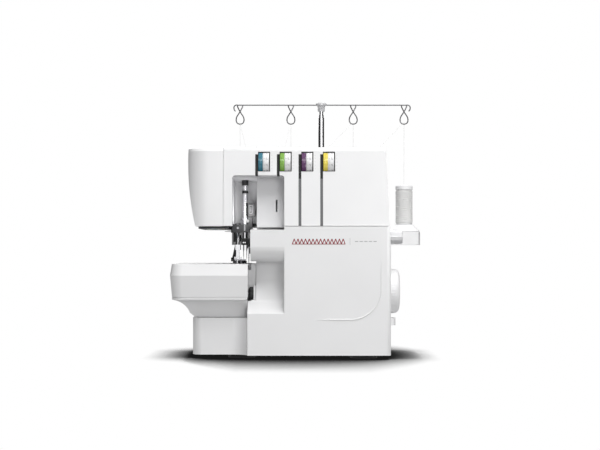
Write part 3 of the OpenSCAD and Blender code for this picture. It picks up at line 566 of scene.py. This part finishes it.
def printed_bar(shape, centre, radius, x0, x1, a0, a1, mat):
    """A flat mark printed on a drum: from x0 to x1 along it and from angle a0 to a1 round it."""
    rings = []
    for x in (x0, x1):
        rings.append([on_axis(centre, "X", x - centre[0], r, a)
                      for r, a in ((radius - 0.2, a0), (radius + 0.05, a0), (radius + 0.05, a1),
                                   (radius - 0.2, a1))])
    shape.skin(rings, mat)


def print_digit(shape, centre, radius, digit, x, angle, cell, mat):
    """Prints a plain seven-stroke digit whose lower left corner is at x and angle."""
    half = 0.24
    for stroke in DIGITS[digit].split():
        u0, v0, u1, v1 = SEGMENTS[stroke]
        x0, x1 = x + u0 * cell - half, x + u1 * cell + half
        a0, a1 = angle - (v0 * cell - half) / radius, angle - (v1 * cell + half) / radius
        printed_bar(shape, centre, radius, x0, x1, a0, a1, mat)


def tension_dial(i):
    """Ribbed coloured band on the left, white numbered band on the right."""
    name = f"tension_dial_{i + 1}"
    low, high, middle = span(name)
    radius = (high.z - low.z) / 2
    centre = (low.x, middle.y, middle.z)
    band, width = 5.9, high.x - low.x
    shape = Shape()
    hub = 2.55
    shape.lathe([
        (hub, 0), (radius - 1.0, 0), (radius - 0.1, 0.5, 0.35), (radius, 1.0, 0.45),
        (radius, band - 0.7, 0.45), (radius - 0.2, band - 0.2, 0.2), (radius - 0.8, band), (hub, band),
    ], centre, "X", 216, 0, True, 54)
    white = radius - 0.25
    shape.lathe([
        (hub, band + 0.1), (white - 0.9, band + 0.1), (white - 0.9, band + 0.4), (white - 0.2, band + 0.6),
        (white, band + 1.0), (white, width - 0.7), (white - 0.4, width), (hub, width),
    ], centre, "X", 144, 1, True)
    # ten numbers over three quarters of a turn, with a line at each and a short one between
    for step in range(19):
        angle = math.radians(180 + 135 - 15 * step)
        x0 = low.x + band + 1.2
        length = 1.9 if step % 2 == 0 else 1.0
        printed_bar(shape, centre, white, x0, x0 + length, angle - 0.011, angle + 0.011, 2)
        if step % 2 == 0:
            print_digit(shape, centre, white, step // 2, x0 + 3.3, angle + 1.5 / white, 0.75, 2)
    piece(f"{name}_drum", shape, [DIALS[i], "white_shell", "print_grey"], name, [name])


def dial_surround(i):
    """Black strip round the top and right of a dial's window, painted shade for the dark gap between window
    and dial, and black pieces for the dark inside of the thread slot, also painted shade.
    """
    x = slot_x(i)
    z0, z1 = WINDOW_Z
    left, right = x + SLOT_W / 2, x + WINDOW_W
    rim, thin = 1.5, 0.45
    shape = Shape()
    outline = [
        (left, z1), (right, z1), (right, z0), (left, z0),
        (left, z0 - thin), (right + rim * 0.8, z0 - thin), (right + rim * 0.8, z1 + rim), (left, z1 + rim),
    ]
    shape.prism([(px, front_at(pz) - 0.25, pz) for px, pz in outline], (0, 0.6, 0))
    # left cheek and back of the slot, black as painted shade
    bottom, top = BAY_TOP_Z if i < 2 else BLACK_SLOT_Z, SLOT_TOP_Z
    for x0, x1, y0, depth in ((x - SLOT_W / 2, x - SLOT_W / 2 + 0.5, 0.5, 2),
                              (x - SLOT_W / 2, left, 2.7, 0.5)):
        shape.prism([(x0, front_at(bottom) + y0, bottom), (x1, front_at(bottom) + y0, bottom),
                     (x1, front_at(top) + y0, top), (x0, front_at(top) + y0, top)], (0, depth, 0))
    piece(f"dial_surround_{i + 1}", shape, ["black_plastic"], "frame")


def slot_groove(i):
    """Dark grey floor of the shallow lower part of a long thread slot; the dark grey is painted shade in the
    groove.
    """
    x = slot_x(i)
    half = SLOT_W / 2
    z0, z1 = PANEL_Z0 + 0.1, BLACK_SLOT_Z
    shape = Shape()
    shape.prism([(x - half, front_at(z0) + 1.5, z0), (x + half, front_at(z0) + 1.5, z0),
                 (x + half, front_at(z1) + 1.5, z1), (x - half, front_at(z1) + 1.5, z1)], (0, 1.0, 0))
    piece(f"slot_groove_{i + 1}", shape, ["groove_grey"], "frame")


def panel_marks():
    """Fine scale marks moulded beside the dials."""
    shape = Shape()
    for i in range(4):
        x = slot_x(i) + WINDOW_W + 3.0
        for k in range(5):
            z = WINDOW_Z[0] + 3 + 4.4 * k
            w = 1.6 if k == 2 else 1.0
            shape.prism([(x, front_at(z), z - 0.2), (x + w, front_at(z), z - 0.2),
                         (x + w, front_at(z), z + 0.2), (x, front_at(z), z + 0.2)], (0, -0.06, 0))
    piece("panel_scale_marks", shape, ["print_pale"], "frame")


# ---- Thread stand ----

def guide_bar():
    """One drawn wire with hooked ends, and a hanging figure-of-eight eye over each spool."""
    low, high, middle = span("guide_bar")
    wire = 0.85
    z = high.z - 0.9
    y = middle.y
    x0, x1 = low.x + 0.9, high.x - 0.9
    shape = Shape()
    hook = [(6.5, 0.1), (3.2, 0.2), (1.0, -0.9), (0.0, -3.4), (0.5, -6.6), (2.2, -9.0)]
    left = [(x0 + px, y, z + pz) for px, pz in reversed(hook)]
    right = [(x1 - px, y, z + pz) for px, pz in hook]
    shape.tube(smooth_path(left, 6) + smooth_path(right, 6), wire, 12)
    half_eye = [(3.9, 0.5), (3.5, -2.6), (1.9, -6.0), (0, -9.6), (-2.7, -13.6), (-5.1, -17.8), (-5.7, -22.4),
                (-4.1, -26.2)]
    for k in range(4):
        x = span(f"spool_{k + 1}")[2].x
        front = [(x + px, y - 0.9 * max(0, 1 - abs(pz + 9.6) / 12), z + pz) for px, pz in half_eye]
        back = [(x - px, y + 0.9 * max(0, 1 - abs(pz + 9.6) / 12), z + pz) for px, pz in reversed(half_eye)]
        shape.tube(smooth_path(front + [(x, y, z - 27.7)] + back, 6), wire, 10)
    piece("thread_rack_wire", shape, ["wire"], "thread_guide", ["guide_bar"])


def guide_holder():
    """Moulded cap that carries the wire on the mast."""
    low, high, middle = span("guide_holder")
    place = (middle.x, middle.y, low.z)
    height = high.z - low.z
    shape = Shape()
    shape.lathe([(4.6, 0), (5.0, 0.3), (5.3, height * 0.55), (6.0, height - 4.8), (7.7, height - 4.0),
                 (8.0, height - 2.6), (7.6, height - 1.2), (5.4, height - 0.2), (2.0, height)], place)
    piece("thread_rack_holder", shape, ["silver_plastic"], "thread_guide", ["guide_holder"])


def spool(i):
    """Cross-wound thread on a moulded core with a wide rim."""
    name = f"spool_{i + 1}"
    low, high, middle = span(name)
    radius = (high.x - low.x) / 2
    rim_z = high.z - 6.3
    centre = (middle.x, middle.y, 0)
    shape = Shape()
    rows, turns = 110, 120
    rings = []
    for k in range(rows + 1):
        t = k / rows
        z = low.z + 1.2 + (rim_z - low.z - 1.6) * t
        body = radius - 0.25 - 1.5 * max(0.0, abs(2 * t - 1) - 0.94) / 0.06 - 0.25 * math.sin(math.pi * t)
        ring = []
        for n in range(turns):
            a = TAU * n / turns
            weave = 0.10 * (math.sin(3 * a + 95 * t) + math.sin(3 * a - 95 * t))
            weave += 0.05 * math.sin(TAU * 27 * t)
            ring.append(on_axis(centre, "Z", z, body + weave, a))
        rings.append(ring)
    shape.skin(rings, 0)
    bore = 2.6
    rim = radius - 0.3
    shape.lathe([(bore, rim_z - 3), (5.5, rim_z - 3), (5.5, rim_z - 0.2), (rim - 0.6, rim_z - 0.2),
                 (rim, rim_z + 0.4), (rim, high.z - 0.8), (rim - 0.8, high.z), (9.0, high.z),
                 (8.0, high.z - 1.2), (4.2, high.z - 1.2), (bore, high.z - 1.6)], centre, "Z", 72, 1, True)
    shape.lathe([(bore, low.z), (radius - 1.0, low.z), (radius - 0.7, low.z + 0.4),
                 (radius - 0.9, low.z + 1.3), (bore, low.z + 1.3)], centre, "Z", 72, 1, True)
    piece(f"{name}_thread", shape, ["spool_thread", "white_shell"], name, [name])


def spool_holders():
    """A coned foot with a pin for each spool, on the tray."""
    low, high = span("spool_holders")[:2]
    shape = Shape()
    for k in range(4):
        middle = span(f"spool_{k + 1}")[2]
        centre = (middle.x, middle.y, low.z)
        cup = 10.6
        shape.lathe([(20, 0.1), (21.6, 0.5), (22.6, 0.9), (22.9, 1.3), (22.0, 1.9), (17.6, cup - 4.6),
                     (13.4, cup - 0.7), (12.3, cup), (8, cup), (7.2, cup - 0.5), (3.4, cup - 0.5),
                     (2.5, cup), (2.45, high.z - low.z - 2), (1.6, high.z - low.z - 0.4),
                     (0.6, high.z - low.z)], centre, "Z", 80)
    piece("spool_rests", shape, ["white_shell"], "frame", ["spool_holders"])


def threads():
    """Four threads, from the spools up through the eyes, down to the machine's top and into the slots."""
    rack_z = span("guide_bar")[1].z - 27.0
    guides_low, guides_high, guides = span("top_thread_guides")
    xs = [guides_low.x + 5, *MIDDLE_GUIDES_X, guides_high.x - 5]
    ring_z = guides_high.z - 2.8
    shape = Shape()
    for i in range(4):
        top = span(f"spool_{i + 1}")
        x, y = top[2].x, top[2].y
        start = Vector((x, y + 3.0, top[1].z - 0.6))
        eye = Vector((x, y - 0.1, rack_z + 1.2))
        guide = Vector((xs[i], guides.y, ring_z))
        slot = Vector((slot_x(i), front_at(PANEL_Z1) + 2.2, PANEL_Z1 + 0.35))
        inside = Vector((slot_x(i), front_at(SLOT_TOP_Z) + 3.0, SLOT_TOP_Z - 2))
        path = []
        for a, b, steps in ((start, eye, 26), (eye, guide, 26), (guide, slot, 8), (slot, inside, 4)):
            path += [a.lerp(b, n / steps) for n in range(steps)]
        shape.tube(path + [inside], 0.17, 6)
    obj = piece("spool_threads", shape, ["thread"], None, ["threads"])
    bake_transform(obj)


# ---- Looper cover details ----

def cover_line():
    """Raised line on the cover that runs down its right side and turns in along the bottom."""
    right, bottom, bend = 102.3, 52.3, 40.0
    path = [(right, FRONT, 136 - 2 * k) for k in range(22)]
    for k in range(17):
        a = math.radians(90 * k / 16)
        path.append((right - bend + bend * math.cos(a), FRONT, bottom + bend - bend * math.sin(a)))
    path += [(right - bend - 2.5 * k, FRONT, bottom) for k in range(1, 21)]
    shape = Shape()
    shape.tube(path, lambda t: 0.05 + 0.75 * min(1, 6 * t, 6 * (1 - t)), 12)
    piece("cover_line", shape, ["white_shell"], "looper_cover")


def strip(shape, a, b, width, mat=0, y=None, thick=0.06):
    """A flat printed strip on the cover from a to b, both (x, z)."""
    a, b = Vector(a), Vector(b)
    side = (b - a).normalized().orthogonal() * width / 2
    y = FRONT if y is None else y
    shape.prism([(p.x, y, p.y) for p in (a - side, b - side, b + side, a + side)], (0, -thick, 0), mat)


def cover_ornament():
    """A plain stitch pattern: a red overlock zigzag, a thin divider and a run of grey stitches."""
    z, half = 154.0, 3.4
    shape = Shape()
    pitch, count = 4.9, 14
    x0 = -13.5
    for k in range(count):
        x = x0 + pitch * k
        strip(shape, (x, z - half), (x + pitch * 0.5, z + half), 1.15, 0)
        strip(shape, (x + pitch * 0.5, z + half), (x + pitch, z - half), 1.15, 0)
    strip(shape, (x0 - 0.4, z - half), (x0 + pitch * count + 0.4, z - half), 0.9, 0)
    strip(shape, (61.5, z - 4.4), (61.5, z + 4.4), 0.35, 1)
    for k in range(5):
        strip(shape, (68 + 6 * k, z), (72.2 + 6 * k, z), 0.8, 1)
    piece("cover_stitch_pattern", shape, ["print_red", "print_grey"], "looper_cover")


# ---- Right side ----

def handwheel():
    low, high, middle = span("handwheel")
    radius = (high.z - low.z) / 2
    centre = (low.x, middle.y, middle.z)
    width = high.x - low.x
    shape = Shape()
    shape.lathe([
        (radius - 3.6, 0), (radius - 1.2, 0.4), (radius - 0.2, 2.0, 0.1), (radius, 4.0, 0.35),
        (radius - 0.1, 8.0, 0.35), (radius - 0.7, 11.5, 0.25), (radius - 2.4, 14.0, 0.05),
        (radius - 5.0, 15.6), (radius - 8.0, width), (radius - 10.5, width - 0.6),
        (radius - 12.0, width - 2.2), (9.5, width - 2.8), (8.8, width - 1.2), (8.0, width - 0.5),
        (2.0, width - 0.4),
    ], centre, "X", 240, 0, False, 48)
    piece("handwheel_rim", shape, ["white_shell"], "handwheel", ["handwheel"])


def knob(name, body, material, grip, flutes, depth, painted_highlight_line=False):
    """A knurled knob on the X axis in the place of a CAD node; grip is the share that is knurled."""
    low, high, middle = span(name)
    radius = (high.z - low.z) / 2
    centre = (0, middle.y, middle.z)
    a, b = grip
    shape = Shape()
    profile = [(min(3.6, radius * 0.4), low.x), (min(3.6, radius * 0.4), a - 0.1), (radius - 0.9, a),
               (radius, a + 0.8, depth), (radius, b - 1.2, depth), (radius - 0.4, b - 0.4, depth * 0.4),
               (radius - 1.4, b), (radius * 0.5, b), (radius * 0.45, b - 0.4), (1.0, b - 0.4)]
    shape.lathe(profile, centre, "X", flutes * 4, 0, False, flutes)
    # white strip along the front of the knob at mid height: a painted highlight line, carried on as a white
    # strip across the end face
    if painted_highlight_line:
        shape.box((a + 0.9, middle.y - radius - 0.12, middle.z - 0.5),
                  (b - 0.2, middle.y - radius + 0.8, middle.z + 0.5), 1)
        shape.box((b - 0.5, middle.y - radius + 0.7, middle.z - 0.5),
                  (b + 0.12, middle.y - 2.0, middle.z + 0.5), 1)
    piece(f"{name}_knob", shape, [material, "white_shell"], body, [name])


# ---- Needle area ----

def needle_clamp():
    """Black clamp block with its two set screws and the thumb screw in front."""
    bar_low, _, bar = span("needle_bar")
    x, y = bar.x, bar.y
    top = bar_low.z
    shape = Shape()
    shape.box((x - 4.6, y - 4.6, top - 9.1), (x + 4.4, y + 4.6, top))
    shape.box((x - 3.4, y - 5.6, top - 7.9), (x + 1.4, y - 4.4, top - 1.2))
    # ring high on the bar
    ring = span("needle_clamp")[1].z
    shape.lathe([(3.75, -3.8), (3.9, -3.8), (4.2, -3.4), (4.2, -0.4), (3.9, 0), (3.75, 0)],
                (x, y, ring), "Z", 48, 0, True)
    # thumb screw, then the two set screws
    knob_x, radius = x + 3.2, 7.0
    centre = (knob_x, y - 4.5, top - 7.1)
    shape.lathe([(5.0, 0), (radius - 0.4, 0.3, 0.2), (radius, 0.8, 0.5), (radius, 2.7, 0.5),
                 (radius - 0.5, 3.3, 0.2), (5.0, 3.6), (4.0, 3.1), (1.0, 3.1)], centre, "X", 144, 0, False,
                 36)
    for dx in (-2.1, 0.1):
        shape.lathe([(0.95, -0.6), (0.95, 0.7), (0.7, 1.0)], (x + dx, y - 6.2, top - 5.9), "Y", 24, 1)
    piece("needle_clamp_block", shape, ["black_plastic", "chrome"], "needle_bar", ["needle_clamp"],
          bevel=0.25)


def needles():
    """Two needles: shank, blade with its groove, eye scarf and point."""
    low, high, middle = span("needles")
    shape = Shape()
    for x in (low.x + 1.0, high.x - 1.0):
        tip = low.z
        shape.lathe([(0.08, 0), (0.30, 2.0), (0.42, 5.0), (0.50, 6.5), (0.52, 10.0), (0.54, 11.4),
                     (0.75, 12.6), (0.98, 13.2), (1.0, high.z - tip - 1), (0.8, high.z - tip)],
                     (x, middle.y, tip), "Z", 20)
    piece("needle_pair", shape, ["steel"], "needle_bar", ["needles"])


def presser_spring():
    """Coiled spring above the presser bar's collar."""
    low, high, middle = span("presser_spring")
    turns, steps = 12, 20
    radius = (high.x - low.x) / 2 - 0.55
    points = []
    for k in range(turns * steps + 1):
        z = low.z + 0.5 + (high.z - low.z - 1.0) * k / (turns * steps)
        points.append(on_axis((middle.x, middle.y, 0), "Z", z, radius, TAU * k / steps))
    shape = Shape()
    shape.tube(points, 0.5, 8)
    obj = piece("presser_spring_coil", shape, ["steel"], None, ["presser_spring"])
    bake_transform(obj)


def bay_hardware():
    """Small screws and the thread guide plate beside the needle bar."""
    bar = span("needle_bar")[2]
    x, y = bar.x, bar.y
    shape = Shape()
    # grey plate with a slot, on the dark bracket right of the bar
    plate_x, front = x + 5.2, y - 9.3
    for low, high in (((0, 202.2), (5.6, 203.2)), ((0, 191.6), (5.6, 192.6)), ((0, 191.6), (0.9, 203.2)),
                      ((4.7, 191.6), (5.6, 203.2)), ((2.2, 194.4), (3.2, 200.6))):
        shape.box((plate_x + low[0], front, low[1]), (plate_x + high[0], front + 0.9, high[1]))
    # clamp screw on the bush below, and the guide post in the middle of the dark block
    shape.lathe([(2.2, 0), (2.2, 1.2), (1.7, 1.7)], (x + 3.6, y - 12.9, 181.6), "Y", 32)
    shape.box((x - 1.2, y - 12.2, 168.2), (x + 0.8, y - 10.8, 176.4))
    shape.lathe([(1.6, -1.0), (1.6, 0.4), (1.2, 0.8)], (x - 9.4, y - 11.8, 172.4), "Y", 32)
    piece("needle_bay_hardware", shape, ["print_grey"], "frame", bevel=0.2)


def bay_sill():
    """Pale strip that closes the gap under the right part of the needle bay."""
    x1 = span("needle_bay_liner")[1].x
    shape = Shape()
    shape.box((x1 - 37, -112, PANEL_Z0 - 4.4), (x1 - 0.6, -109, PANEL_Z0 - 0.6))
    piece("needle_bay_sill", shape, ["grey_plastic"], "frame", bevel=0.3)


# ---- Making it all ----

make_camera()
make_world()
make_floor()
area_light("overhead", (0.40, -0.80, 1.80), (0, -0.1, 0.1), (1.2, 1.2), 30)
area_light("front", (0.8, -2.5, 0.75), (0, 0, 0.15), (0.9, 0.8), 14)
area_light("back", (-0.7, 2.3, 1.0), (0, 0.1, 0.15), (1.0, 1.0), 9)
area_light("needle_bay_fill", (-0.076, -0.120, 0.192), (-0.078, -0.05, 0.196), (0.02, 0.02), 0.016)
dress_frame()
for part_name, edge_width in EDGE.items():
    round_edges(part_name, edge_width)
for n in range(4):
    tension_dial(n)
    dial_surround(n)
    spool(n)
for n in (2, 3):
    slot_groove(n)
panel_marks()
guide_bar()
guide_holder()
spool_holders()
threads()
cover_line()
cover_ornament()
handwheel()
# the two silver knobs get the painted highlight line
for dial in ("stitch_length_dial", "differential_dial"):
    knob(dial, dial, "silver_plastic", (117.0, span(dial)[1].x), 40, 0.35, True)
knob("cutting_width_dial", "cutting_width_dial", "black_plastic", (-70.6, -65.0), 30, 0.5)
needle_clamp()
needles()
presser_spring()
bay_hardware()
bay_sill()

bpy.context.scene.view_settings.view_transform = "Standard"
